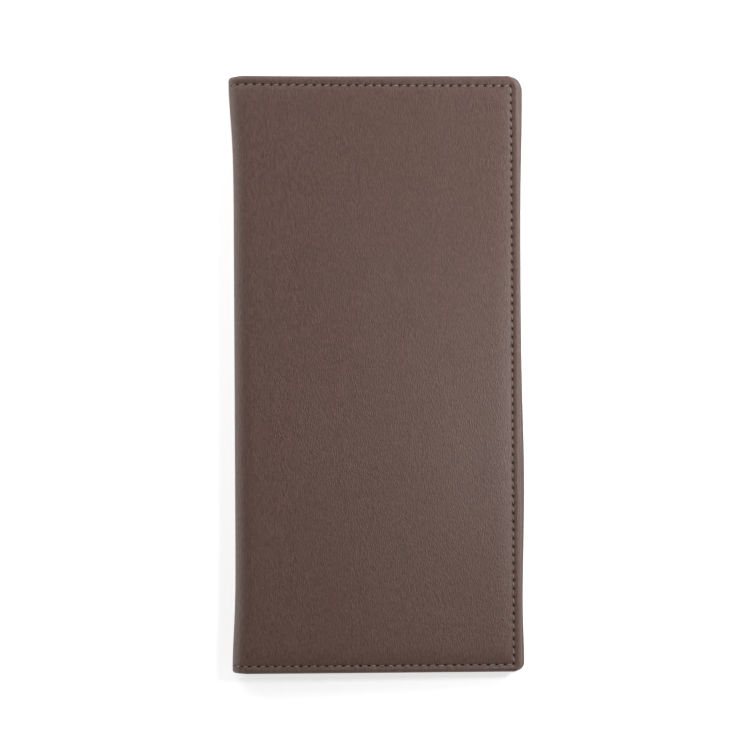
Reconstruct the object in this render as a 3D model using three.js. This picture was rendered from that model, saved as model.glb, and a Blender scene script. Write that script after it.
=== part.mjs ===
// A closed, book-style travel document organizer of smooth leather, lying on its back cover.
// Millimetres. X runs from the fold to the free edges, Y along the height, Z up from the surface
// that the organizer lies on. The origin is under the middle of the whole outline.
import * as THREE from 'three';

// Driving dimensions of the covers
const COVER_HEIGHT = 247.65; // along the fold
const COVER_WIDTH = 118.5; // from the fold to the front cover's free edge
const FOLD_BULGE = 7.2; // how far the round of the fold stands out past the flat covers
const TAPER_TOP = 0.5; // how much the top edge draws in from the fold to the free edge
const TAPER_TOP_REACH = 0.25; // share of the width over which it does most of that
const TAPER_BOTTOM = 0.33; // how much the bottom edge draws in
const FOLD_TOP_DIP = 0.6; // how much the ends draw in on the outermost line of the fold
const FOLD_BOTTOM_DIP = 0.35;
const CORNER_RADIUS_TOP = 4.7; // free corners at +Y
const CORNER_RADIUS_BOTTOM = 3.6; // free corners at -Y

// The flare of the fold towards its two ends: how far out, and its reach along the fold
const FLARE_TOP = 1.95;
const FLARE_TOP_REACH = 24;
const FLARE_BOTTOM = 1.45;
const FLARE_BOTTOM_REACH = 23;

// Leather and what the layers leave between them
const COVER_WALL = 1.5;
const TURN_IN_WALL = 1; // the skived edge that is turned in round the rim
const TURN_IN_WIDTH = 8; // width of the turned-in band
const TURN_IN_STEP = 0.8; // over which the band's skived edge thins out
const POCKET_WALL = 1;
const LAYER_GAP = 0.3; // clearance between two leather layers that are sewn together
const GAP_AT_FOLD = 3.3; // between the two pocket panels, beside the fold
const GAP_AT_FREE_EDGE = 0.9; // between the two pocket panels, at the free edges
const WEDGE_POWER = 1.6; // how late the covers close towards the free edges

// Relief of each cover, from its rim to its crown
const EDGE_ROLL = 1.7; // width of the rounding of the turned edge
const RIM_FLAT = 0.25; // what is left straight between the two roundings
const FLANGE_DROP = 0.55; // how far the sewn flange lies below the crown
const SEAM_INSET_FREE = 3.3; // seam line from the free edge
const SEAM_INSET_TOP = 4.2; // seam line from the top edge
const SEAM_INSET_BOTTOM = 3.4; // seam line from the bottom edge
const SEAM_DEPTH = 0.35;
const SEAM_CROWN_SIDE = 0.6; // width of the seam valley's short slope, towards the crown
const CROWN_REACH = 7.9; // from the seam to the crown
const CROWN_POWER = 2.2;

// Pocket panels
const POCKET_RIM_INSET = 0.9; // from the cover's edge to the panel's edge
const POCKET_MOUTH_INSET = 10; // from the start of the fold's round to the pocket's mouth

// How far the back cover's free edge shows past the front one
const BACK_EDGE_LEAST = 0.55; // shows all along
// place and reach are shares of the height from the bottom, out is in millimetres
const BACK_EDGE_WAVES = [
  { place: 0.02, reach: 0.06, out: 0.65 },
  { place: 0.32, reach: 0.15, out: 1.05 },
  { place: 0.97, reach: 0.13, out: 0.95 },
];

// Fineness of the faceted solids
const COVER_COLUMNS = 6;
const FOLD_COLUMNS = 12;
const COVER_ROWS = 22;
const POCKET_COLUMNS = 8;
const POCKET_ROWS = 12;
const ROLL_RINGS = [0, 0.12, 0.45, 1]; // rings across the rounding of the edge, shares of its width
const CROWN_RING = 0.3; // a ring on the slope up to the crown, share of its reach
const POCKET_RINGS = [0, 0.2, 0.45, 0.7, 1]; // shares of the way from a panel's rim to its inside

const COVER_LEATHER = { color: 0x69554e, roughness: 0.5, metalness: 0 };
const POCKET_LEATHER = { color: 0x5e4a43, roughness: 0.55, metalness: 0 };

// Sizes that follow
const flangeWall = COVER_WALL + TURN_IN_WALL;
const rollDepth = (flangeWall - RIM_FLAT) / 2;
const pocketLevel = FLANGE_DROP + flangeWall + LAYER_GAP;
const layerStack = 2 * (pocketLevel + POCKET_WALL);
const foldThickness = layerStack + GAP_AT_FOLD;
const freeThickness = layerStack + GAP_AT_FREE_EDGE;
const panelWidth = COVER_WIDTH - FOLD_BULGE;
const crownInset = SEAM_INSET_FREE + CROWN_REACH;

const lerp = (from, to, share) => from + (to - from) * share;
const bell = (distance, reach) => Math.exp(-((distance / reach) ** 2));

// Line of the fold, seen from above, and of each cover's free edge
function foldX(y) {
  const top = FLARE_TOP * bell(COVER_HEIGHT / 2 - y, FLARE_TOP_REACH);
  const bottom = FLARE_BOTTOM * bell(COVER_HEIGHT / 2 + y, FLARE_BOTTOM_REACH);
  return -top - bottom;
}

function freeEdgeX(y, isBack) {
  if (!isBack) return COVER_WIDTH;
  const place = y / COVER_HEIGHT + 0.5;
  const waves = BACK_EDGE_WAVES.map((wave) => wave.out * bell(place - wave.place, wave.reach));
  const out = waves.reduce((sum, wave) => sum + wave, BACK_EDGE_LEAST);
  return COVER_WIDTH + out;
}

// Height of the front cover's crown, from the fold (0) to the free edge (1)
const crownHeight = (share) => lerp(foldThickness, freeThickness, Math.max(share, 0) ** WEDGE_POWER);

const clampShare = (value) => Math.min(Math.max(value, 0), 1);

// How far the outer and the inner face lie inside the crown, at an inset from the rim. The drop
// to the sewn flange fades out where the fold is outermost.
function crownDrop(place) {
  const rise = clampShare((place.inset - SEAM_INSET_FREE) / CROWN_REACH);
  const fade = place.part === 'fold' ? Math.sin(place.across) ** 2 : 1;
  return FLANGE_DROP * fade * (1 - rise) ** CROWN_POWER;
}

function rollDrop(inset) {
  const left = Math.max(1 - inset / EDGE_ROLL, 0);
  return rollDepth * (1 - Math.sqrt(1 - left * left));
}

// The seam lies in a valley: a long slope down the flange and a short one up to the crown
function seamDrop(inset) {
  const onFlange = (inset - EDGE_ROLL) / (SEAM_INSET_FREE - EDGE_ROLL);
  const toCrown = 1 - (inset - SEAM_INSET_FREE) / SEAM_CROWN_SIDE;
  return SEAM_DEPTH * clampShare(Math.min(onFlange, toCrown));
}

function outerDrop(place) {
  return crownDrop(place) + rollDrop(place.inset) + seamDrop(place.inset);
}

function innerDrop(place) {
  const thinned = clampShare((place.inset - TURN_IN_WIDTH) / TURN_IN_STEP);
  return crownDrop(place) - rollDrop(place.inset) + lerp(flangeWall, COVER_WALL, thinned);
}

// A seam runs a little further in from the ends than from the free edges
function endInset(inset, top) {
  const seam = top ? SEAM_INSET_TOP : SEAM_INSET_BOTTOM;
  if (inset > SEAM_INSET_FREE) return inset + seam - SEAM_INSET_FREE;
  return (inset * seam) / SEAM_INSET_FREE;
}

// How much an end draws in, from the fold (0) to the free edge (1)
function endTaper(share, top) {
  return top ? TAPER_TOP * (1 - Math.exp(-share / TAPER_TOP_REACH)) : TAPER_BOTTOM * share;
}

// Point of a cover or of the fold, a depth inside its crown surface.
// place.across is the distance from the free edge on a cover, or the angle on the fold.
function sheetPoint(place, depth) {
  const end = place.top ? 1 : -1;
  if (place.part === 'fold') {
    const lean = Math.cos(place.across);
    const up = Math.sin(place.across);
    const dip = place.top ? FOLD_TOP_DIP : FOLD_BOTTOM_DIP;
    const y = end * (COVER_HEIGHT / 2 - dip * lean * lean - place.fromEnd);
    const normal = new THREE.Vector2(lean / FOLD_BULGE, (2 * up) / foldThickness).normalize();
    const x = foldX(y) + FOLD_BULGE * (1 + lean) - normal.x * depth;
    return new THREE.Vector3(x, y, (foldThickness / 2) * (1 + up) - normal.y * depth);
  }
  const share = 1 - place.across / panelWidth;
  const y = end * (COVER_HEIGHT / 2 - endTaper(share, place.top) - place.fromEnd);
  const isBack = place.part === 'back';
  const x = lerp(foldX(y) + FOLD_BULGE, freeEdgeX(y, isBack), share);
  return new THREE.Vector3(x, y, isBack ? depth : crownHeight(share) - depth);
}

// In a free corner the rings run parallel to the rounded outline. first and second are the
// node's ring numbers from its two edges, and the result is its distance from each edge.
function cornerPlace(rings, radius, first, second) {
  const last = rings[rings.length - 1];
  const inset = rings[Math.min(first, second)];
  const arc = Math.max(radius - inset, 0);
  const arcLength = (arc * Math.PI) / 4;
  const straight = last - Math.max(radius, inset);
  const share = inset < last ? (rings[Math.max(first, second)] - inset) / (last - inset) : 0;
  const along = share * (arcLength + straight);
  const angle = arc > 0 ? Math.PI / 4 - Math.min(along, arcLength) / arc : 0;
  const near = Math.max(radius, inset) - arc * Math.cos(angle);
  const far = Math.max(radius, inset) - arc * Math.sin(angle) + Math.max(along - arcLength, 0);
  return { inset, first: first <= second ? near : far, second: first <= second ? far : near };
}

// Columns across one cover from the free edge to the fold, and rows from one end to the other.
// ring is the ring number, or the last one away from the rim.
function coverColumns(part, rings, count, width) {
  const last = rings.length - 1;
  const columns = rings.map((inset, ring) => ({ part, ring, across: inset }));
  for (let step = 1; step < count; step += 1) {
    columns.push({ part, ring: last, across: lerp(rings[last], width, step / count) });
  }
  return columns;
}

function coverRows(rings, count) {
  const last = rings.length - 1;
  const atEnd = (top) => rings.map((inset, ring) => ({ top, ring, fromEnd: endInset(inset, top) }));
  const bottom = atEnd(false);
  const top = atEnd(true).reverse();
  const low = bottom[last].fromEnd - COVER_HEIGHT / 2;
  const high = COVER_HEIGHT / 2 - top[0].fromEnd;
  const between = [];
  for (let step = 1; step < count; step += 1) {
    // Closer together near the ends, where the fold flares
    const y = lerp(low, high, (1 - Math.cos((Math.PI * step) / count)) / 2);
    between.push({ top: y > 0, ring: last, fromEnd: COVER_HEIGHT / 2 - Math.abs(y) });
  }
  return [...bottom, ...between, ...top];
}

// The place of one node of the sheet, with its inset from the rim
function nodePlace(rings, column, row) {
  const last = rings.length - 1;
  const place = { part: column.part, top: row.top, across: column.across, fromEnd: row.fromEnd };
  if (column.ring === undefined || column.ring === last || row.ring === last) {
    const ring = Math.min(column.ring ?? last, row.ring);
    return { ...place, inset: rings[ring] };
  }
  const radius = row.top ? CORNER_RADIUS_TOP : CORNER_RADIUS_BOTTOM;
  const corner = cornerPlace(rings, radius, column.ring, row.ring);
  const fromEnd = endInset(corner.second, row.top);
  return { ...place, inset: corner.inset, across: corner.first, fromEnd };
}

// A closed solid between two faces of the same grid of places
function sheetSolid(columns, rows, rings, outerDepth, innerDepth) {
  const positions = [];
  const wide = columns.length;
  const high = rows.length;
  for (const depthAt of [outerDepth, innerDepth]) {
    for (const column of columns) {
      for (const row of rows) {
        const place = nodePlace(rings, column, row);
        positions.push(...sheetPoint(place, depthAt(place)).toArray());
      }
    }
  }
  const node = (face, column, row) => (face * wide + column) * high + row;
  const indices = [];
  const quad = (a, b, c, d) => indices.push(a, b, c, a, c, d);
  for (let i = 0; i + 1 < wide; i += 1) {
    for (let j = 0; j + 1 < high; j += 1) {
      quad(node(0, i, j), node(0, i, j + 1), node(0, i + 1, j + 1), node(0, i + 1, j));
      quad(node(1, i, j), node(1, i + 1, j), node(1, i + 1, j + 1), node(1, i, j + 1));
    }
    quad(node(0, i, 0), node(0, i + 1, 0), node(1, i + 1, 0), node(1, i, 0));
    quad(node(0, i + 1, high - 1), node(0, i, high - 1), node(1, i, high - 1), node(1, i + 1, high - 1));
  }
  for (let j = 0; j + 1 < high; j += 1) {
    quad(node(0, 0, j + 1), node(0, 0, j), node(1, 0, j), node(1, 0, j + 1));
    quad(node(0, wide - 1, j), node(0, wide - 1, j + 1), node(1, wide - 1, j + 1), node(1, wide - 1, j));
  }
  const geometry = new THREE.BufferGeometry();
  geometry.setAttribute('position', new THREE.Float32BufferAttribute(positions, 3));
  geometry.setIndex(indices);
  geometry.computeVertexNormals();
  return geometry;
}

// Front cover, fold and back cover in one piece
function outerCover() {
  const insets = [
    ...ROLL_RINGS.map((share) => share * EDGE_ROLL),
    SEAM_INSET_FREE,
    SEAM_INSET_FREE + SEAM_CROWN_SIDE,
    SEAM_INSET_FREE + CROWN_REACH * CROWN_RING,
    TURN_IN_WIDTH,
    TURN_IN_WIDTH + TURN_IN_STEP,
    crownInset,
  ];
  const rings = insets.sort((a, b) => a - b);
  const columns = coverColumns('front', rings, COVER_COLUMNS, panelWidth);
  for (let step = 0; step <= FOLD_COLUMNS; step += 1) {
    columns.push({ part: 'fold', across: Math.PI * (0.5 + step / FOLD_COLUMNS) });
  }
  columns.push(...coverColumns('back', rings, COVER_COLUMNS, panelWidth).reverse());
  return sheetSolid(columns, coverRows(rings, COVER_ROWS), rings, outerDrop, innerDrop);
}

// A plain panel that follows the inside of its cover, open towards the fold
function pocketPanel(part) {
  const lastInset = Math.max(CORNER_RADIUS_TOP, CORNER_RADIUS_BOTTOM) + 2 * POCKET_RIM_INSET;
  const rings = POCKET_RINGS.map((share) => lerp(POCKET_RIM_INSET, lastInset, share));
  const mouth = panelWidth - POCKET_MOUTH_INSET;
  const columns = coverColumns(part, rings, POCKET_COLUMNS, mouth);
  columns.push({ part, ring: rings.length - 1, across: mouth });
  const rows = coverRows(rings, POCKET_ROWS);
  const towardsCover = () => pocketLevel;
  const towardsMiddle = () => pocketLevel + POCKET_WALL;
  if (part === 'back') columns.reverse();
  return sheetSolid(columns, rows, rings, towardsCover, towardsMiddle);
}

function namedMesh(name, geometry, leather) {
  const mesh = new THREE.Mesh(geometry, new THREE.MeshStandardMaterial(leather));
  mesh.name = name;
  return mesh;
}

const organizer = new THREE.Group();
organizer.add(
  namedMesh('outer_cover', outerCover(), COVER_LEATHER),
  namedMesh('front_pocket', pocketPanel('front'), POCKET_LEATHER),
  namedMesh('back_pocket', pocketPanel('back'), POCKET_LEATHER),
);

// The middle of the outline comes over the origin
const outline = new THREE.Box3().setFromObject(organizer);
organizer.position.x = -(outline.min.x + outline.max.x) / 2;
organizer.position.y = -(outline.min.y + outline.max.y) / 2;

export default organizer;
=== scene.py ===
import math

import bpy
import numpy as np
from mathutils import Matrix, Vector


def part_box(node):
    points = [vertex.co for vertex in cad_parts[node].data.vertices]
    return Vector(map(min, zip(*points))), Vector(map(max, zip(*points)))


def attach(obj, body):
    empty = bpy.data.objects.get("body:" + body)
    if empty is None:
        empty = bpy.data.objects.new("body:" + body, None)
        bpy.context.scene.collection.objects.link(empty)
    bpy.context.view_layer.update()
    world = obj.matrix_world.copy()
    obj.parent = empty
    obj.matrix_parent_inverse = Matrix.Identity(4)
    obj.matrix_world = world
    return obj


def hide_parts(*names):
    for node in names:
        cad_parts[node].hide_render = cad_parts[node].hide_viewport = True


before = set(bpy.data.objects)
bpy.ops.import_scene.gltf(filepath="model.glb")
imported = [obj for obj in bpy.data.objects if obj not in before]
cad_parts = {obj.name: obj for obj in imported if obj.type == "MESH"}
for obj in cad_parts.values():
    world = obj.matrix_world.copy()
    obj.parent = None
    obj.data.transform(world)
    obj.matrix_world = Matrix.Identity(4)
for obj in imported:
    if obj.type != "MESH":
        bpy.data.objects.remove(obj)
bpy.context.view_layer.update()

MM = 0.001
cover_low, cover_high = (np.array(corner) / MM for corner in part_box("outer_cover"))
pocket_low, pocket_high = (np.array(corner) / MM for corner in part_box("back_pocket"))

# Sizes that the solids give
COVER_HEIGHT = cover_high[1] - cover_low[1]
FOLD_THICKNESS = cover_high[2] - cover_low[2]
POCKET_LEVEL = pocket_low[2] - cover_low[2]  # from the crown's face to the pocket panel
POCKET_WALL = pocket_high[2] - pocket_low[2]

# Covers
COVER_WIDTH = 118.5
FOLD_BULGE = 7.2
TAPER_TOP = 0.5
TAPER_TOP_REACH = 0.25
TAPER_BOTTOM = 0.33
FOLD_TOP_DIP = 0.6
FOLD_BOTTOM_DIP = 0.35
CORNER_RADIUS_TOP = 4.7
CORNER_RADIUS_BOTTOM = 3.6
FLARE_TOP = 1.95
FLARE_TOP_REACH = 24.0
FLARE_BOTTOM = 1.45
FLARE_BOTTOM_REACH = 23.0
WEDGE_POWER = 1.6
GAP_AT_FREE_EDGE = 0.9

# Leather
COVER_WALL = 1.5
TURN_IN_WALL = 1.0
TURN_IN_WIDTH = 8.0
TURN_IN_STEP = 0.8
POCKET_RIM_INSET = 0.9
POCKET_MOUTH_INSET = 10.0

# Relief from the rim to the crown
EDGE_ROLL = 1.7
RIM_FLAT = 0.25
FLANGE_DROP = 0.55
SEAM_INSET_FREE = 3.3
SEAM_INSET_TOP = 4.3  # at the free corner
SEAM_INSET_FOLD = 3.55  # along the top end, at the fold
SEAM_INSET_BOTTOM = 3.05
SEAM_DEPTH = 0.35
SEAM_CROWN_SIDE = 0.45  # reach of the seam's valley towards the crown
VALLEY_START = EDGE_ROLL * 0.7  # where the valley's slope begins, in from the rim
VALLEY_POWER = 1.5
CROWN_REACH = 7.9
CROWN_POWER = 2.2
TOP_DROP = 0.5  # how much of the flange's drop is left along the top end, away from its corners
BOTTOM_DROP = 1.3

# The back cover's free edge: place and reach are shares of the height, out is in millimetres
BACK_EDGE_LEAST = 0.55
BACK_EDGE_WAVES = (
    {"place": 0.02, "reach": 0.06, "out": 0.65},
    {"place": 0.32, "reach": 0.15, "out": 1.05},
    {"place": 0.97, "reach": 0.13, "out": 0.95},
)

# Stitches
STITCH_PITCH = 3.5
THREAD_RADIUS = 0.26
STITCH_RISE = 0.14  # the thread's middle line over the valley's floor
STITCH_DIVE = 0.5  # how deep its ends go into the needle holes
STITCH_SLANT = 0.2  # how far each end lies off the seam line
HOLE_DEPTH = 0.7
HOLE_HALF_WIDTH = 0.5
HOLE_HALF_LENGTH = 0.9
STITCH_GAP = 0.32  # share of a stitch's pitch between its thread and the next one's
PUCKER = 0.03  # how far the leather is drawn in beside a hole and raised beside a thread
PUCKER_PLACE = 0.9  # from the seam line
PUCKER_REACH = 0.8
FOLD_FLAT = 0.7  # how much of the seam's relief is gone where the fold is outermost

# Soft waves of the front cover's face: their lengths across and along it, height and phase
FACE_WAVES = (
    {"across": 95.0, "along": 160.0, "height": 0.07, "phase": 0.4},
    {"across": 60.0, "along": -120.0, "height": 0.045, "phase": 2.1},
    {"across": 210.0, "along": 74.0, "height": 0.04, "phase": 4.0},
)
FACE_WAVE_FADE = 25.0  # how far in from the seam they reach their full height

# Corners of the rings: how fast and how far their radius shrinks inwards, and over how long a
# stretch the sides lead up to them
CORNER_TIGHTENING = 1.25
LEAST_CORNER = 0.6
CORNER_EASE = 7.0

# Mesh fineness
CORNER_POINTS = 12
ROLL_SHARES = (0, 0.03, 0.09, 0.18, 0.31, 0.47, 0.65, 0.83, 1)
STITCH_SHARES = (0, 0.06, 0.14, 0.3, 0.5, 0.7, 0.86, 0.94)
SEAM_RINGS = (-0.9, -0.55, -0.3, -0.15, 0, 0.15, 0.3, 0.55, 0.9, 1.4)  # from the seam line, inwards
CELL = 2.2
INNER_CELL = 3.6
SLOPE_CELL = 0.9
FOLD_CELL = 0.9

# What the leather's material reads at each vertex: reaches of the seam's and the holes' shade, the
# rim's share on a sheet's inner face, and the margin and span of each half of the map
SEAM_SHADE_REACH = 0.7
HOLE_SHADE_ACROSS = 0.4
HOLE_SHADE_ALONG = 0.62
FAR_FROM_HOLES = 9.0
INNER_RIM = 0.3
MAP_MARGIN = 0.03
MAP_SPAN = 0.94

# Sizes that follow
FLANGE_WALL = COVER_WALL + TURN_IN_WALL
ROLL_DEPTH = (FLANGE_WALL - RIM_FLAT) / 2
PANEL_WIDTH = COVER_WIDTH - FOLD_BULGE
FREE_THICKNESS = 2 * (POCKET_LEVEL + POCKET_WALL) + GAP_AT_FREE_EDGE
FOLD_ARC = math.pi * (FOLD_BULGE + FOLD_THICKNESS / 2) / 2
SHEET_WIDTH = 2 * PANEL_WIDTH + FOLD_ARC
CROWN_INSET = SEAM_INSET_FREE + CROWN_REACH
SQUARE_INSET = CORNER_RADIUS_TOP + LEAST_CORNER  # where the grid with square corners begins


def bell(distance, reach):
    return np.exp(-((distance / reach) ** 2))


# The flat sheet and how it is folded. s runs across the sheet from the front cover's free edge
# over the fold to the back cover's, and v runs along its height from the middle.
def fold_line(y):
    """Where the fold is outermost, which flares out towards both ends."""
    top = FLARE_TOP * bell(COVER_HEIGHT / 2 - y, FLARE_TOP_REACH)
    bottom = FLARE_BOTTOM * bell(COVER_HEIGHT / 2 + y, FLARE_BOTTOM_REACH)
    return -top - bottom


def back_peek(y):
    """How far the back cover's free edge shows past the front cover's."""
    place = y / COVER_HEIGHT + 0.5
    waves = [w["out"] * bell(place - w["place"], w["reach"]) for w in BACK_EDGE_WAVES]
    return BACK_EDGE_LEAST + sum(waves)


def from_free_edge(s):
    return np.minimum(s, SHEET_WIDTH - s)


def face_wave(s, v):
    """Slight unevenness of the front face, fading out towards its rim and the fold."""
    height = 0
    for wave in FACE_WAVES:
        turn = 2 * math.pi * (s / wave["across"] + v / wave["along"]) + wave["phase"]
        height = height + wave["height"] * np.sin(turn)
    inside = np.minimum(s, PANEL_WIDTH - s)
    inside = np.minimum(inside, COVER_HEIGHT / 2 - np.abs(v))
    return height * np.clip((inside - SEAM_INSET_FREE) / FACE_WAVE_FADE, 0, 1) ** 2


def sheet_point(s, v, depth):
    """The place in space of points of the flat sheet, a depth inside the crown's face."""
    s, v, depth = np.broadcast_arrays(s, v, depth)
    turn = np.clip((s - PANEL_WIDTH) / FOLD_ARC, 0, 1)
    lean = np.cos(math.pi * (0.5 + turn))
    up = np.sin(math.pi * (0.5 + turn))
    share = np.clip(1 - from_free_edge(s) / PANEL_WIDTH, 0, 1)
    taper_top = TAPER_TOP * (1 - np.exp(-share / TAPER_TOP_REACH))
    taper = np.where(v > 0, taper_top, TAPER_BOTTOM * share)
    draw = np.where(v > 0, FOLD_TOP_DIP, FOLD_BOTTOM_DIP) * lean**2 + taper
    y = v * (1 - 2 * draw / COVER_HEIGHT)
    on_front = turn <= 0
    on_back = turn >= 1
    hinge = fold_line(y) + FOLD_BULGE
    size = np.hypot(lean / FOLD_BULGE, 2 * up / FOLD_THICKNESS)
    x_fold = hinge + FOLD_BULGE * lean - depth * lean / FOLD_BULGE / size
    z_fold = FOLD_THICKNESS / 2 * (1 + up) - depth * 2 * up / FOLD_THICKNESS / size
    free = COVER_WIDTH + np.where(on_back, back_peek(y), 0)
    x_panel = hinge + share * (free - hinge)
    crown = FOLD_THICKNESS + (FREE_THICKNESS - FOLD_THICKNESS) * share**WEDGE_POWER
    z_panel = np.where(on_back, depth, crown - depth)
    x = np.where(on_front | on_back, x_panel, x_fold)
    z = np.where(on_front | on_back, z_panel, z_fold)
    return np.stack([x, y, z], axis=-1)


# Relief, as depths inside the crown's face
def real_v(s, v):
    """The real v of a place on the flat sheet. The rings take the seam as equally far in on every
    side, and this moves it to its own distance from each end."""
    end = COVER_HEIGHT / 2
    to_fold = from_free_edge(s) / (SHEET_WIDTH / 2)
    top = SEAM_INSET_TOP + (SEAM_INSET_FOLD - SEAM_INSET_TOP) * to_fold
    below = (v + end) * SEAM_INSET_BOTTOM / SEAM_INSET_FREE - end
    above = end - (end - v) * top / SEAM_INSET_FREE
    share = (v + end - SEAM_INSET_FREE) / (2 * end - 2 * SEAM_INSET_FREE)
    between = SEAM_INSET_BOTTOM - end + share * (2 * end - top - SEAM_INSET_BOTTOM)
    return np.where(share < 0, below, np.where(share > 1, above, between))


def on_fold(s):
    """From 0 on the covers to 1 where the fold is outermost."""
    return np.sin(math.pi * np.clip((s - PANEL_WIDTH) / FOLD_ARC, 0, 1)) ** 2


def crown_depth(s, v):
    """The drop from the crown to the sewn flange, which fades out where the fold is outermost."""
    def rise(distance):
        share = np.clip((distance - SEAM_INSET_FREE) / CROWN_REACH, 0, 1)
        return 1 - (1 - share) ** CROWN_POWER

    fade = 1 - on_fold(s)
    at_end = np.where(v > 0, TOP_DROP, BOTTOM_DROP) * (1 - rise(COVER_HEIGHT / 2 - np.abs(v)))
    return FLANGE_DROP * fade * (1 - rise(from_free_edge(s)) * (1 - at_end))


def quarter_round(inset, reach, depth):
    """How far an edge's round lies below the face, from a depth at the rim to none at its reach."""
    left = np.clip(1 - inset / reach, 0, 1)
    return depth * (1 - np.sqrt(1 - left**2))


def roll_depth(inset):
    return quarter_round(inset, EDGE_ROLL, ROLL_DEPTH)


def valley_depth(inset):
    """The seam's valley: a slope up to the rim on the flange, and a short one to the crown."""
    flange = np.clip((inset - VALLEY_START) / (SEAM_INSET_FREE - VALLEY_START), 0, 1)
    crown = np.exp(-np.clip(inset - SEAM_INSET_FREE, 0, None) / SEAM_CROWN_SIDE)
    return SEAM_DEPTH * np.where(inset <= SEAM_INSET_FREE, flange**VALLEY_POWER, crown)


def stitch_depth(inset, phase):
    """Needle holes where the phase is whole, and the pucker beside the seam."""
    off = np.abs(inset - SEAM_INSET_FREE)
    near = np.abs(phase - np.round(phase)) * STITCH_PITCH
    hole = np.clip(1 - off / HOLE_HALF_WIDTH, 0, 1) * np.clip(1 - near / HOLE_HALF_LENGTH, 0, 1)
    pull = bell(off - PUCKER_PLACE, PUCKER_REACH) * np.cos(2 * math.pi * phase)
    return HOLE_DEPTH * hole + PUCKER * pull


def outer_depth(s, v, inset, phase=None):
    seam = valley_depth(inset)
    if phase is not None:
        seam = seam + stitch_depth(inset, phase)
    relief = seam * (1 - FOLD_FLAT * on_fold(s))
    return crown_depth(s, v) + roll_depth(inset) + relief - face_wave(s, v)


def inner_depth(s, v, inset):
    thinned = np.clip((inset - TURN_IN_WIDTH) / TURN_IN_STEP, 0, 1)
    wall = FLANGE_WALL + (COVER_WALL - FLANGE_WALL) * thinned
    return crown_depth(s, v) - roll_depth(inset) + wall


class Outline:
    """A rectangle of the flat sheet with rounded corners, and the rings inside it. Places on a
    ring are distances along the reference ring, from the bottom of the low-s side, upwards."""

    def __init__(self, low, high, radii, reference):
        self.low = low
        self.high = high
        self.radii = radii
        self.reference = self.parts(reference)
        self.lengths = [part["length"] for part in self.reference]
        self.starts = np.concatenate([[0], np.cumsum(self.lengths)[:-1]])
        self.length = sum(self.lengths)

    def parts(self, inset):
        """The sides and corners of one ring, clockwise when s runs to the right."""
        s0, v0 = (value + inset for value in self.low)
        s1, v1 = (value - inset for value in self.high)
        rounds = [max(radius - inset * CORNER_TIGHTENING, LEAST_CORNER) for radius in self.radii]
        up, right, down, left = (np.array(way, float) for way in ((0, 1), (1, 0), (0, -1), (-1, 0)))
        corners = [np.array(at, float) for at in ((s0, v0), (s0, v1), (s1, v1), (s1, v0))]
        round_before = [rounds[3], rounds[0], rounds[1], rounds[2]]
        found = []
        for number, (way, out) in enumerate(((up, left), (right, up), (down, right), (left, down))):
            first, last = corners[number], corners[(number + 1) % 4]
            before, after = round_before[number], rounds[number]
            length = abs((last - first) @ way) - before - after
            found.append({"at": first + way * before, "way": way, "length": length, "radius": 0})
            centre = last - way * after - out * after
            arc = after * math.pi / 2
            found.append({"at": centre, "way": way, "out": out, "length": arc, "radius": after})
        return found

    def ring(self, distances, inset):
        """Points (s, v) at distances along the reference ring, moved to another inset."""
        found = np.zeros((len(distances), 2))
        for part, reference, start in zip(self.parts(inset), self.reference, self.starts):
            inside = (distances >= start) & (distances < start + reference["length"])
            along = (distances[inside] - start)[:, None]
            if part["radius"]:
                angle = along / reference["length"] * math.pi / 2
                way = part["out"] * np.cos(angle) + part["way"] * np.sin(angle)
                found[inside] = part["at"] + way * part["radius"]
            else:
                # Straight across from the reference ring, but near a corner drawn along to it
                before = (reference["at"] - part["at"]) @ part["way"]
                after = part["length"] - reference["length"] - before
                to_start = np.clip(1 - along / CORNER_EASE, 0, 1)
                to_end = np.clip(1 - (reference["length"] - along) / CORNER_EASE, 0, 1)
                moved = along + before * (1 - to_start) + after * to_end
                found[inside] = part["at"] + part["way"] * moved
        return found

    def corner_places(self, count):
        """Distances inside every corner, and the middle of each corner."""
        inside = []
        middles = []
        for part, start in zip(self.reference, self.starts):
            if part["radius"]:
                shares = (np.arange(count) + 0.5) / count
                inside.extend(start + part["length"] * shares)
                middles.append(start + part["length"] / 2)
        return inside, middles


def zip_rings(first, second, first_ids, second_ids):
    """Triangles between two closed rings of points, both running the same way round."""
    start = int(np.argmin(np.linalg.norm(second - first[0], axis=1)))
    second = np.roll(second, -start, axis=0)
    second_ids = np.roll(second_ids, -start)
    triangles = []
    i = j = 0
    while i < len(first) or j < len(second):
        next_first = first[(i + 1) % len(first)]
        next_second = second[(j + 1) % len(second)]
        by_first = np.linalg.norm(next_first - second[j % len(second)])
        by_second = np.linalg.norm(next_second - first[i % len(first)])
        here = (first_ids[i % len(first)], second_ids[j % len(second)])
        if j >= len(second) or (i < len(first) and by_first <= by_second):
            i += 1
            triangles.append((*here, first_ids[i % len(first)])[::-1])
        else:
            j += 1
            triangles.append((*here, second_ids[j % len(second)])[::-1])
    return triangles


def spread(low, high, cell):
    """Even steps of about one cell from low to high, without high."""
    count = max(round((high - low) / cell), 1)
    return list(low + (high - low) * np.arange(count) / count)


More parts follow.
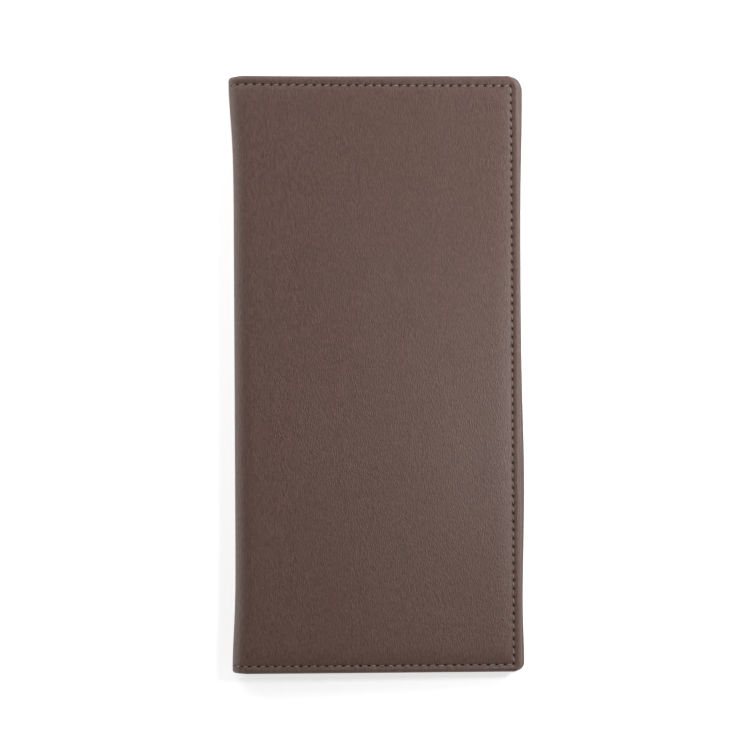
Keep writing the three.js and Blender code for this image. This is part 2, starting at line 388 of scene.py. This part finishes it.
class SheetMesh:
    """Vertices and faces of one closed leather sheet, with the values its material reads."""

    def __init__(self):
        self.points = []
        self.faces = []
        self.rim = []
        self.seam = []
        self.hole = []
        self.map = []

    def add(self, points, flat, inset, phase, outer):
        """Adds vertices and returns their numbers."""
        first = sum(len(block) for block in self.points)
        count = len(points)
        inset = np.broadcast_to(inset, count)
        off = np.abs(inset - SEAM_INSET_FREE)
        near = FAR_FROM_HOLES
        if phase is not None:
            near = np.abs(phase - np.round(phase)) * STITCH_PITCH
        self.points.append(points)
        if outer:
            self.rim.append(np.clip(1 - inset / EDGE_ROLL, 0, 1))
            # where the painted shade along the seam's valley goes
            self.seam.append(bell(off, SEAM_SHADE_REACH))
            # where the needle holes' painted shade goes, which also makes them fully rough
            self.hole.append(bell(off, HOLE_SHADE_ACROSS) * bell(near, HOLE_SHADE_ALONG))
        else:
            self.rim.append(np.full(count, INNER_RIM))
            self.seam.append(np.zeros(count))
            self.hole.append(np.zeros(count))
        across = (flat[:, 0] / SHEET_WIDTH * MAP_SPAN + MAP_MARGIN) / 2 + (0 if outer else 0.5)
        along = flat[:, 1] / COVER_HEIGHT * MAP_SPAN + 0.5
        self.map.append(np.stack([across, along], axis=1))
        return np.arange(first, first + count)

    def strip(self, outer_ids, inner_ids):
        """Quads between two rings with the same number of places, the outer ring first."""
        following_outer, following_inner = np.roll(outer_ids, -1), np.roll(inner_ids, -1)
        quads = np.stack([outer_ids, inner_ids, following_inner, following_outer], axis=1)
        self.faces.extend(quads[:, ::-1].tolist())

    def build(self, name, shift):
        points = np.concatenate(self.points) + shift
        mesh = bpy.data.meshes.new(name)
        mesh.from_pydata((points * MM).tolist(), [], self.faces)
        for key in ("rim", "seam", "hole"):
            layer = mesh.attributes.new(key, "FLOAT", "POINT")
            layer.data.foreach_set("value", np.concatenate(getattr(self, key)).astype(np.float32))
        mesh.validate()
        corners = np.zeros(len(mesh.loops), dtype=np.int32)
        mesh.loops.foreach_get("vertex_index", corners)
        uv = mesh.uv_layers.new(name="OFBake")
        uv.uv.foreach_set("vector", np.concatenate(self.map)[corners].astype(np.float32).ravel())
        mesh.shade_smooth()
        piece = bpy.data.objects.new(name, mesh)
        bpy.context.scene.collection.objects.link(piece)
        return piece


def add_face_of_sheet(sheet, outline, distances, phase, rings, lines, depth_at, outer):
    """One face of a sheet: rings round its rim, then a grid inside. Returns the rim's ring."""
    ring_ids = []
    for inset in rings:
        flat = outline.ring(distances, inset)
        depth = depth_at(flat[:, 0], flat[:, 1], inset, phase)
        points = sheet_point(flat[:, 0], real_v(*flat.T), depth)
        ring_ids.append(sheet.add(points, flat, inset, phase, outer))
    s_lines, v_lines = lines
    grid_s, grid_v = np.meshgrid(s_lines, v_lines, indexing="ij")
    flat = np.stack([grid_s.ravel(), grid_v.ravel()], axis=1)
    inset = np.minimum(from_free_edge(flat[:, 0]), COVER_HEIGHT / 2 - np.abs(flat[:, 1]))
    points = sheet_point(flat[:, 0], real_v(*flat.T), depth_at(*flat.T, inset, None))
    grid = sheet.add(points, flat, inset, None, outer).reshape(len(s_lines), len(v_lines))
    around = np.concatenate([grid[0, :-1], grid[:-1, -1], grid[-1, :0:-1], grid[:0:-1, 0]])
    last = outline.ring(distances, rings[-1])
    triangles = zip_rings(last, flat[around - grid[0, 0]], ring_ids[-1], around)
    quads = np.stack([grid[:-1, :-1], grid[1:, :-1], grid[1:, 1:], grid[:-1, 1:]], axis=-1)
    inside = [tuple(face) for face in quads.reshape(-1, 4).tolist()]
    rim = SheetMesh()
    for first, second in zip(ring_ids[:-1], ring_ids[1:]):
        rim.strip(first, second)
    made = [tuple(face) for face in rim.faces] + triangles
    # s runs against X on the front cover, so the grid's faces are turned over too
    made += [face[::-1] for face in inside]
    sheet.faces.extend(made if outer else [face[::-1] for face in made])
    return ring_ids[0]


def grid_lines(low, high, inner):
    """Grid lines near both ends of a span, closer on the crown's slope or at the turned-in edge."""
    if inner:
        near = [SQUARE_INSET, TURN_IN_WIDTH, TURN_IN_WIDTH + TURN_IN_STEP]
    else:
        near = spread(SQUARE_INSET, CROWN_INSET, SLOPE_CELL) + [CROWN_INSET]
    start = [low + inset for inset in near]
    end = [high - inset for inset in reversed(near)]
    return start, end


def cover_lines(cell, inner):
    start, end = grid_lines(0, SHEET_WIDTH, inner)
    fold_start, fold_end = PANEL_WIDTH, PANEL_WIDTH + FOLD_ARC
    across = start[:-1] + spread(start[-1], fold_start, cell)
    across += spread(fold_start, fold_end, FOLD_CELL)
    across += spread(fold_end, end[0], cell) + end
    half = COVER_HEIGHT / 2
    bottom, top = grid_lines(-half, half, inner)
    along = bottom[:-1] + spread(bottom[-1], top[0], cell) + top
    return np.array(across), np.array(along)


# The cover's outline, its seam and where each stitch's needle holes are
half_height = COVER_HEIGHT / 2
cover_outline = Outline(
    (0, -half_height),
    (SHEET_WIDTH, half_height),
    (CORNER_RADIUS_TOP, CORNER_RADIUS_TOP, CORNER_RADIUS_BOTTOM, CORNER_RADIUS_BOTTOM),
    SEAM_INSET_FREE,
)
corner_places, corner_middles = cover_outline.corner_places(CORNER_POINTS)

# A needle hole falls on every corner of the seam, with whole stitches from each to the next
hole_places = []
corners_around = corner_middles + [corner_middles[0] + cover_outline.length]
for corner, following in zip(corners_around[:-1], corners_around[1:]):
    count = round((following - corner) / STITCH_PITCH)
    hole_places.extend(corner + (following - corner) * np.arange(count) / count)
stitch_count = len(hole_places)
hole_places.append(hole_places[0] + cover_outline.length)


def stitch_place(phase):
    """Distance along the seam of a place counted in stitches."""
    return np.interp(phase, np.arange(stitch_count + 1), hole_places)


def make_cover():
    shares = (np.arange(stitch_count)[:, None] + np.array(STITCH_SHARES)[None, :]).ravel()
    at_corners = np.array(corner_places)
    before_first_hole = at_corners < hole_places[0]
    at_corners = np.where(before_first_hole, at_corners + cover_outline.length, at_corners)
    distances = np.union1d(stitch_place(shares), at_corners)
    phase = np.interp(distances, hole_places, np.arange(stitch_count + 1))
    distances = np.mod(distances, cover_outline.length)
    order = np.argsort(distances)
    distances, phase = distances[order], phase[order]
    sheet = SheetMesh()
    roll = [share * EDGE_ROLL for share in ROLL_SHARES]
    outer_rings = roll + [SEAM_INSET_FREE + step for step in SEAM_RINGS]
    outer_rim = add_face_of_sheet(
        sheet, cover_outline, distances, phase, outer_rings, cover_lines(CELL, False),
        outer_depth, True,
    )
    inner_rim = add_face_of_sheet(
        sheet, cover_outline, distances, phase, roll, cover_lines(INNER_CELL, True),
        lambda s, v, inset, phase: inner_depth(s, v, inset), False,
    )
    sheet.strip(inner_rim, outer_rim)
    return sheet


cover_sheet = make_cover()
cover_points = np.concatenate(cover_sheet.points)
built_low = np.min(cover_points, axis=0)
built_high = np.max(cover_points, axis=0)
shift_x = (cover_low[0] + cover_high[0] - built_low[0] - built_high[0]) / 2
SHIFT = np.array([shift_x, 0, cover_low[2]])  # puts the sheet's middle on the solid's
cover = cover_sheet.build("leather_cover", SHIFT)


# Pocket panels: a flat sheet inside each cover, with softly rounded edges
POCKET_EDGE_ROUND = 0.35
POCKET_CORNER = 1.2  # at the mouth
POCKET_CELL = 4.0
POCKET_RIM_CELL = 1.0
POCKET_RINGS = (0, 0.15, 0.5, 1)  # shares of the edge's round
POCKET_LAST_RING = 0.8
POCKET_REFERENCE_RING = 0.5  # inset of the ring that places round the rim are counted on
POCKET_GRID_MARGIN = 0.5  # from the rim's largest corner to the grid inside


def make_pocket(name, front):
    rim = POCKET_RIM_INSET
    mouth = PANEL_WIDTH - POCKET_MOUTH_INSET
    top, bottom = CORNER_RADIUS_TOP - rim, CORNER_RADIUS_BOTTOM - rim
    if front:
        low, high = (rim, rim - half_height), (mouth, half_height - rim)
        radii = (top, POCKET_CORNER, POCKET_CORNER, bottom)
    else:
        low, high = (SHEET_WIDTH - mouth, rim - half_height), (SHEET_WIDTH - rim, half_height - rim)
        radii = (POCKET_CORNER, top, bottom, POCKET_CORNER)
    outline = Outline(low, high, radii, POCKET_REFERENCE_RING)
    even_places = spread(0, outline.length, POCKET_RIM_CELL)
    distances = np.union1d(even_places, outline.corner_places(CORNER_POINTS)[0])
    rings = [POCKET_EDGE_ROUND * share for share in POCKET_RINGS] + [POCKET_LAST_RING]
    margin = top + POCKET_GRID_MARGIN
    across = spread(low[0] + margin, high[0] - margin, POCKET_CELL) + [high[0] - margin]
    along = spread(low[1] + margin, high[1] - margin, POCKET_CELL) + [high[1] - margin]
    lines = (np.array(across), np.array(along))

    def towards_cover(s, v, inset, phase):
        return POCKET_LEVEL + quarter_round(inset, POCKET_EDGE_ROUND, POCKET_EDGE_ROUND)

    def towards_middle(s, v, inset, phase):
        return POCKET_LEVEL + POCKET_WALL - quarter_round(inset, POCKET_EDGE_ROUND, POCKET_EDGE_ROUND)

    sheet = SheetMesh()
    outer = add_face_of_sheet(sheet, outline, distances, None, rings, lines, towards_cover, True)
    inner = add_face_of_sheet(sheet, outline, distances, None, rings, lines, towards_middle, False)
    sheet.strip(inner, outer)
    return sheet.build(name, SHIFT)


front_pocket = make_pocket("front_pocket_panel", True)
back_pocket = make_pocket("back_pocket_panel", False)


# Stitches: two plies of thread in each, which dive into the needle holes at both ends
PLY_SIDES = 6
PLY_STEPS = 14
PLY_TURNS = 2.4  # in one stitch
PLY_RADIUS = 0.55  # this and the next as shares of the thread's radius
PLY_OFFSET = 0.5  # from the thread's middle line
PLY_TURN_ON = 0.13  # by which the plies are turned on from one stitch to the next
THREAD_ARCH = 0.55  # power of the thread's arch: the lower, the flatter it is between its ends
NORMAL_STEP = 0.5  # out of the leather, to find the way out of it


def unit(ways):
    return ways / np.linalg.norm(ways, axis=1, keepdims=True)


def seam_frame(distances, depth_at):
    """Points on the seam line, and the way out of the leather at each."""
    flat = cover_outline.ring(np.mod(distances, cover_outline.length), SEAM_INSET_FREE)
    s = flat[:, 0]
    v = real_v(*flat.T)
    depth = depth_at(s, flat[:, 1])
    at = sheet_point(s, v, depth)
    out = sheet_point(s, v, depth - NORMAL_STEP) - at
    return at, unit(out)


def seam_floor(s, v):
    return outer_depth(s, v, np.full(len(s), SEAM_INSET_FREE))


def inside_floor(s, v):
    """The face that the inner stitches lie on: the pocket panels', or the cover's at the fold."""
    to_pocket = from_free_edge(s) <= PANEL_WIDTH - POCKET_MOUTH_INSET
    return np.where(to_pocket, POCKET_LEVEL + POCKET_WALL, crown_depth(s, v) + FLANGE_WALL)


def ply_tube(centre, across, up, first_id):
    """Points and faces of one ply round its middle line, closed at both ends."""
    ring = []
    for corner in range(PLY_SIDES):
        angle = 2 * math.pi * corner / PLY_SIDES
        way = across * math.cos(angle) + up * math.sin(angle)
        ring.append(centre + way * THREAD_RADIUS * PLY_RADIUS)
    faces = []
    for step in range(PLY_STEPS - 1):
        row = first_id + step * PLY_SIDES
        for corner in range(PLY_SIDES):
            a = row + corner
            b = row + (corner + 1) % PLY_SIDES
            faces.append((a, b, b + PLY_SIDES, a + PLY_SIDES))
    last_row = first_id + (PLY_STEPS - 1) * PLY_SIDES
    faces.append(tuple(first_id + corner for corner in reversed(range(PLY_SIDES))))
    faces.append(tuple(last_row + corner for corner in range(PLY_SIDES)))
    return np.stack(ring, axis=1).reshape(-1, 3), faces


def make_stitches(name, depth_at, outward):
    """A row of stitches all along the seam; outward is 1 on the outer face and -1 inside."""
    share = np.linspace(0, 1, PLY_STEPS)
    arch = np.sin(math.pi * share) ** THREAD_ARCH
    lift = arch * (STITCH_RISE + STITCH_DIVE) - STITCH_DIVE
    slant = (share - 0.5) * 2 * STITCH_SLANT
    points = []
    faces = []
    for number in range(stitch_count):
        distances = stitch_place(number + STITCH_GAP / 2 + (1 - STITCH_GAP) * share)
        at, out = seam_frame(distances, depth_at)
        out = out * outward
        side = np.cross(out, unit(np.gradient(at, axis=0)))
        middle = at + out * lift[:, None] + side * slant[:, None]
        tangent = unit(np.gradient(middle, axis=0))
        across = unit(np.cross(out, tangent))
        up = np.cross(tangent, across)
        for ply in (0, 1):
            turn = 2 * math.pi * (PLY_TURNS * share + ply / 2 + PLY_TURN_ON * number)
            offset = across * np.cos(turn)[:, None] + up * np.sin(turn)[:, None]
            centre = middle + offset * THREAD_RADIUS * PLY_OFFSET
            ply_id = 2 * number + ply
            ply_points, ply_faces = ply_tube(centre, across, up, ply_id * PLY_STEPS * PLY_SIDES)
            points.append(ply_points)
            faces.extend(ply_faces)
    mesh = bpy.data.meshes.new(name)
    mesh.from_pydata(((np.concatenate(points) + SHIFT) * MM).tolist(), [], faces)
    mesh.shade_smooth()
    piece = bpy.data.objects.new(name, mesh)
    bpy.context.scene.collection.objects.link(piece)
    return piece


outer_stitches = make_stitches("seam_stitches_outside", seam_floor, 1)
inner_stitches = make_stitches("seam_stitches_inside", inside_floor, -1)


# Materials
class Nodes:
    """A node tree, with short ways to add and join nodes."""

    def __init__(self, tree):
        self.tree = tree
        self.tree.nodes.clear()

    def add(self, kind, inputs=None, **settings):
        node = self.tree.nodes.new(kind)
        for key, value in settings.items():
            setattr(node, key, value)
        for key, value in (inputs or {}).items():
            if isinstance(value, bpy.types.NodeSocket):
                self.tree.links.new(value, node.inputs[key])
            else:
                node.inputs[key].default_value = value
        return node

    def math(self, operation, first, second=0.0, third=0.0, clamp=False):
        values = {0: first, 1: second, 2: third}
        return self.add("ShaderNodeMath", values, operation=operation, use_clamp=clamp).outputs[0]

    def position(self, size_x, size_y, size_z):
        """Object coordinates counted in cells of a size in millimetres."""
        where = self.add("ShaderNodeTexCoord").outputs["Object"]
        scale = [1 / (size * MM) for size in (size_x, size_y, size_z)]
        return self.add("ShaderNodeMapping", {"Vector": where, "Scale": scale}).outputs["Vector"]

    def noise(self, size, detail, roughness):
        where = self.position(*size)
        settings = {"Vector": where, "Scale": 1.0, "Detail": detail, "Roughness": roughness}
        return self.add("ShaderNodeTexNoise", settings).outputs["Fac"]

    def value(self, name):
        """A value that the mesh holds at each vertex."""
        return self.add("ShaderNodeAttribute", attribute_name=name).outputs["Fac"]

    def bump(self, strength, depth, height):
        """Relief of a depth in millimetres."""
        settings = {"Strength": strength, "Distance": depth * MM, "Height": height}
        return self.add("ShaderNodeBump", settings).outputs[0]

    def blend(self, share, first, second):
        """A colour between two; 0, 6, 7 and 2 are the mix node's own places for colours."""
        values = {0: share, 6: first, 7: second}
        return self.add("ShaderNodeMix", values, data_type="RGBA").outputs[2]

    def tone(self, color, factor):
        """A colour made lighter or darker by a factor."""
        values = {0: color, "Scale": factor}
        return self.add("ShaderNodeVectorMath", values, operation="SCALE").outputs[0]

    def finish(self, color, roughness, normal, **fixed):
        settings = {"Base Color": color, "Roughness": roughness, "Normal": normal}
        shader = self.add("ShaderNodeBsdfPrincipled", settings)
        for key, value in fixed.items():
            shader.inputs[key.replace("_", " ")].default_value = value
        self.add("ShaderNodeOutputMaterial", {"Surface": shader.outputs[0]})


LEATHER = (0.098, 0.0525, 0.0395, 1)
LEATHER_COOL = (0.092, 0.0515, 0.0415, 1)
# the pressed edge's own darker colour, also used as the painted shade along the seam's valley
LEATHER_EDGE_AND_SEAM_SHADE = (0.055, 0.029, 0.02, 1)
# painted shade: the near-black colour that the needle holes are blended to
HOLE_PAINTED_SHADE = (0.012, 0.006, 0.004, 1)
POCKET_LEATHER = (0.085, 0.05, 0.04, 1)
THREAD = (0.27, 0.18, 0.147, 1)

# Cells of the leather's grain, in millimetres along X, Y and Z, and how deep the whole grain is
STREAK_CELL = (0.45, 2.1, 0.45)
FINE_CELL = (0.3, 0.9, 0.3)
CREASE_CELL = (0.75, 1.8, 0.75)
CREASE_WARP_CELL = (2.4, 3.4, 2.4)
CLOUD_CELL = (34, 48, 34)
COVER_GRAIN = 0.15
POCKET_GRAIN = 0.04

# Each layer's share of the grain's height
STREAK_HEIGHT = 0.55
FINE_HEIGHT = 0.3
CREASE_HEIGHT = 0.3
CREASE_STEEPNESS = 3.2  # how fast a crease rises to the face beside it

# The colour's tone: about 1, lighter on the streaks and darker in the creases
TONE_LEAST = 0.38
TONE_STREAK = 1.24
TONE_CREASE = 0.06
TONE_CREASE_MIDDLE = 0.04

# How much darker the pressed edge is, and how much painted shade lies along the seam's valley
RIM_SHADE = 0.3
RIM_SHADE_POWER = 2.5
SEAM_SHADE = 0.5

# Roughness, with what the streaks and the clouds add to it
ROUGH_LEAST = 0.31
ROUGH_STREAK = 0.14
ROUGH_CLOUD = 0.08

# Thread: its fibres' cells and height in millimetres, and the least tone and roughness, with what
# the fibres add to them
FIBRE_CELL = (0.09, 0.5, 0.09)
FIBRE_HEIGHT = 0.04
FIBRE_BUMP = 0.6
THREAD_TONE_LEAST = 0.75
THREAD_TONE_FIBRE = 0.5
THREAD_ROUGH_LEAST = 0.36
THREAD_ROUGH_FIBRE = 0.2


def new_material(name):
    material = bpy.data.materials.new(name)
    material.use_nodes = True
    return material, Nodes(material.node_tree)


def leather(name, color, cool, grain_height):
    """Smooth leather with a fine grain drawn out along its height, darker pressed edges, and painted
    shade along the seam's valley and in the needle holes.
    """
    material, n = new_material(name)
    streak = n.noise(STREAK_CELL, detail=2, roughness=0.55)
    fine = n.noise(FINE_CELL, detail=2, roughness=0.6)
    cloud = n.noise(CLOUD_CELL, detail=3, roughness=0.6)
    warp = n.noise(CREASE_WARP_CELL, detail=1, roughness=0.5)
    where = n.add("ShaderNodeVectorMath", {0: n.position(*CREASE_CELL), 1: warp}, operation="ADD")
    cells = n.add(
        "ShaderNodeTexVoronoi", {"Vector": where.outputs[0], "Scale": 1.0},
        feature="DISTANCE_TO_EDGE",
    )
    crease = n.math("MULTIPLY", cells.outputs["Distance"], CREASE_STEEPNESS, clamp=True)
    height = n.math("MULTIPLY_ADD", streak, STREAK_HEIGHT, n.math("MULTIPLY", crease, CREASE_HEIGHT))
    height = n.math("MULTIPLY_ADD", fine, FINE_HEIGHT, height)
    bump = n.bump(1.0, grain_height, height)
    tone = n.math("MULTIPLY_ADD", streak, TONE_STREAK, TONE_LEAST)
    tone = n.math("SUBTRACT", tone, TONE_CREASE_MIDDLE)
    tone = n.math("MULTIPLY_ADD", crease, TONE_CREASE, tone)
    mottled = n.tone(n.blend(cloud, color, cool), tone)
    rim = n.math("MULTIPLY", n.math("POWER", n.value("rim"), RIM_SHADE_POWER), RIM_SHADE)
    edged = n.blend(rim, mottled, LEATHER_EDGE_AND_SEAM_SHADE)
    # Painted shade along the seam's valley
    seam_shaded = n.blend(n.math("MULTIPLY", n.value("seam"), SEAM_SHADE), edged, LEATHER_EDGE_AND_SEAM_SHADE)
    # Painted shade in the needle holes, darkest at their middles
    hole_shaded = n.blend(n.value("hole"), seam_shaded, HOLE_PAINTED_SHADE)
    rough = n.math("MULTIPLY_ADD", streak, ROUGH_STREAK, ROUGH_LEAST)
    rough = n.math("MULTIPLY_ADD", cloud, ROUGH_CLOUD, rough)
    rough = n.math("MAXIMUM", rough, n.value("hole"))
    n.finish(hole_shaded, rough, bump)
    return material


def thread_material():
    material, n = new_material("waxed_thread")
    fibre = n.noise(FIBRE_CELL, detail=2, roughness=0.6)
    base = n.add("ShaderNodeRGB").outputs[0]
    base.default_value = THREAD
    color = n.tone(base, n.math("MULTIPLY_ADD", fibre, THREAD_TONE_FIBRE, THREAD_TONE_LEAST))
    rough = n.math("MULTIPLY_ADD", fibre, THREAD_ROUGH_FIBRE, THREAD_ROUGH_LEAST)
    n.finish(color, rough, n.bump(FIBRE_BUMP, FIBRE_HEIGHT, fibre))
    return material


cover_leather = leather("cover_leather", LEATHER, LEATHER_COOL, COVER_GRAIN)
pocket_leather = leather("pocket_leather", POCKET_LEATHER, POCKET_LEATHER, POCKET_GRAIN)
thread = thread_material()

for piece, material, slot in (
    (cover, cover_leather, "cover_leather"),
    (front_pocket, pocket_leather, "pocket_leather"),
    (back_pocket, pocket_leather, "pocket_leather"),
    (outer_stitches, thread, "thread"),
    (inner_stitches, thread, "thread"),
):
    piece.data.materials.append(material)
    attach(piece, "root")

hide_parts("outer_cover")
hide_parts("front_pocket")
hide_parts("back_pocket")


# Table, light and camera
TABLE_SIZE = 3.0  # metres
TABLE_GAP = 0.02  # below the leather, so that they don't share a plane
TABLE_GLOW = 0.62  # light that the table gives off, which keeps the shadows pale
TABLE_PALE = (0.71, 0.71, 0.71, 1)
TABLE_DARKER = (0.69, 0.69, 0.69, 1)
TABLE_ROUGHNESS = 0.8
PAPER_CELL = (3, 3, 3)
PAPER_HEIGHT = 0.02
PAPER_BUMP = 0.2


def make_table():
    mesh = bpy.data.meshes.new("table")
    reach = TABLE_SIZE / 2
    sides = ((-1, -1), (1, -1), (1, 1), (-1, 1))
    corners = [(x * reach, y * reach, -TABLE_GAP * MM) for x, y in sides]
    mesh.from_pydata(corners, [], [(0, 1, 2, 3)])
    material, n = new_material("pale_table")
    paper = n.noise(PAPER_CELL, detail=3, roughness=0.6)
    color = n.blend(paper, TABLE_DARKER, TABLE_PALE)
    bump = n.bump(PAPER_BUMP, PAPER_HEIGHT, paper)
    n.finish(
        color, TABLE_ROUGHNESS, bump,
        Emission_Color=(1, 1, 1, 1), Emission_Strength=TABLE_GLOW,
    )
    mesh.materials.append(material)
    piece = bpy.data.objects.new("table", mesh)
    bpy.context.scene.collection.objects.link(piece)


def make_light(name, place, size, power):
    """A softbox that faces the object: place and size in metres, power in watts."""
    light = bpy.data.lights.new(name, "AREA")
    light.shape = "SQUARE"
    light.size = size
    light.energy = power
    lamp = bpy.data.objects.new(name, light)
    bpy.context.scene.collection.objects.link(lamp)
    lamp.location = place
    way = -lamp.location
    lamp.rotation_euler = way.to_track_quat("-Z", "Y").to_euler()


def make_world(zenith, horizon, steepness, north):
    """A white studio, brighter towards the horizon than straight above, and brightest at +Y.
    Steepness says how close to the horizon the light is, and north how much more it is at +Y."""
    world = bpy.data.worlds.new("studio")
    world.use_nodes = True
    n = Nodes(world.node_tree)
    way = n.add("ShaderNodeTexCoord").outputs["Generated"]
    parts = n.add("ShaderNodeSeparateXYZ", {"Vector": way})
    low = n.math("SUBTRACT", 1.0, n.math("MAXIMUM", parts.outputs["Z"], 0.0))
    towards_north = n.math("MULTIPLY_ADD", parts.outputs["Y"], north, 1.0)
    ring = n.math("MULTIPLY", n.math("POWER", low, steepness), towards_north)
    strength = n.math("MULTIPLY_ADD", ring, horizon - zenith, zenith)
    sky = n.add("ShaderNodeBackground", {"Color": (1, 1, 1, 1), "Strength": strength})
    n.add("ShaderNodeOutputWorld", {"Surface": sky.outputs[0]})
    bpy.context.scene.world = world


# The photograph's frame: its size in pixels, millimetres a pixel, and where the object is in it
PHOTO_SIZE = 750
PHOTO_SCALE = 0.41393
OBJECT_PIXEL = (376.9, 374.3)
OBJECT_TURN = 0.3  # degrees, anticlockwise
CAMERA_HEIGHT = 2.0  # metres above the front cover
FRONT_LEVEL = 10  # height of the front cover, where the photograph's scale holds
SENSOR = 36.0
CLIP_END = 10  # metres


def make_camera():
    data = bpy.data.cameras.new("camera")
    camera = bpy.data.objects.new("camera", data)
    bpy.context.scene.collection.objects.link(camera)
    data.sensor_width = SENSOR
    data.lens = SENSOR * CAMERA_HEIGHT / (PHOTO_SIZE * PHOTO_SCALE * MM)
    data.clip_end = CLIP_END
    right = (PHOTO_SIZE / 2 - OBJECT_PIXEL[0]) * PHOTO_SCALE * MM
    up = (OBJECT_PIXEL[1] - PHOTO_SIZE / 2) * PHOTO_SCALE * MM
    camera.location = (right, up, CAMERA_HEIGHT + FRONT_LEVEL * MM)
    camera.rotation_euler = (0, 0, -math.radians(OBJECT_TURN))
    bpy.context.scene.camera = camera


make_table()
make_light("top_softbox", (-0.3, 0.45, 0.45), 0.35, 1.88)
make_light("key_softbox", (0.35, 0.25, 0.25), 0.3, 1.6)
make_light("side_softbox", (0.2, -0.02, 0.28), 0.06, 0.435)
make_world(zenith=0.1, horizon=4.7, steepness=5.0, north=0.2)
make_camera()
bpy.context.scene.view_settings.view_transform = "Standard"
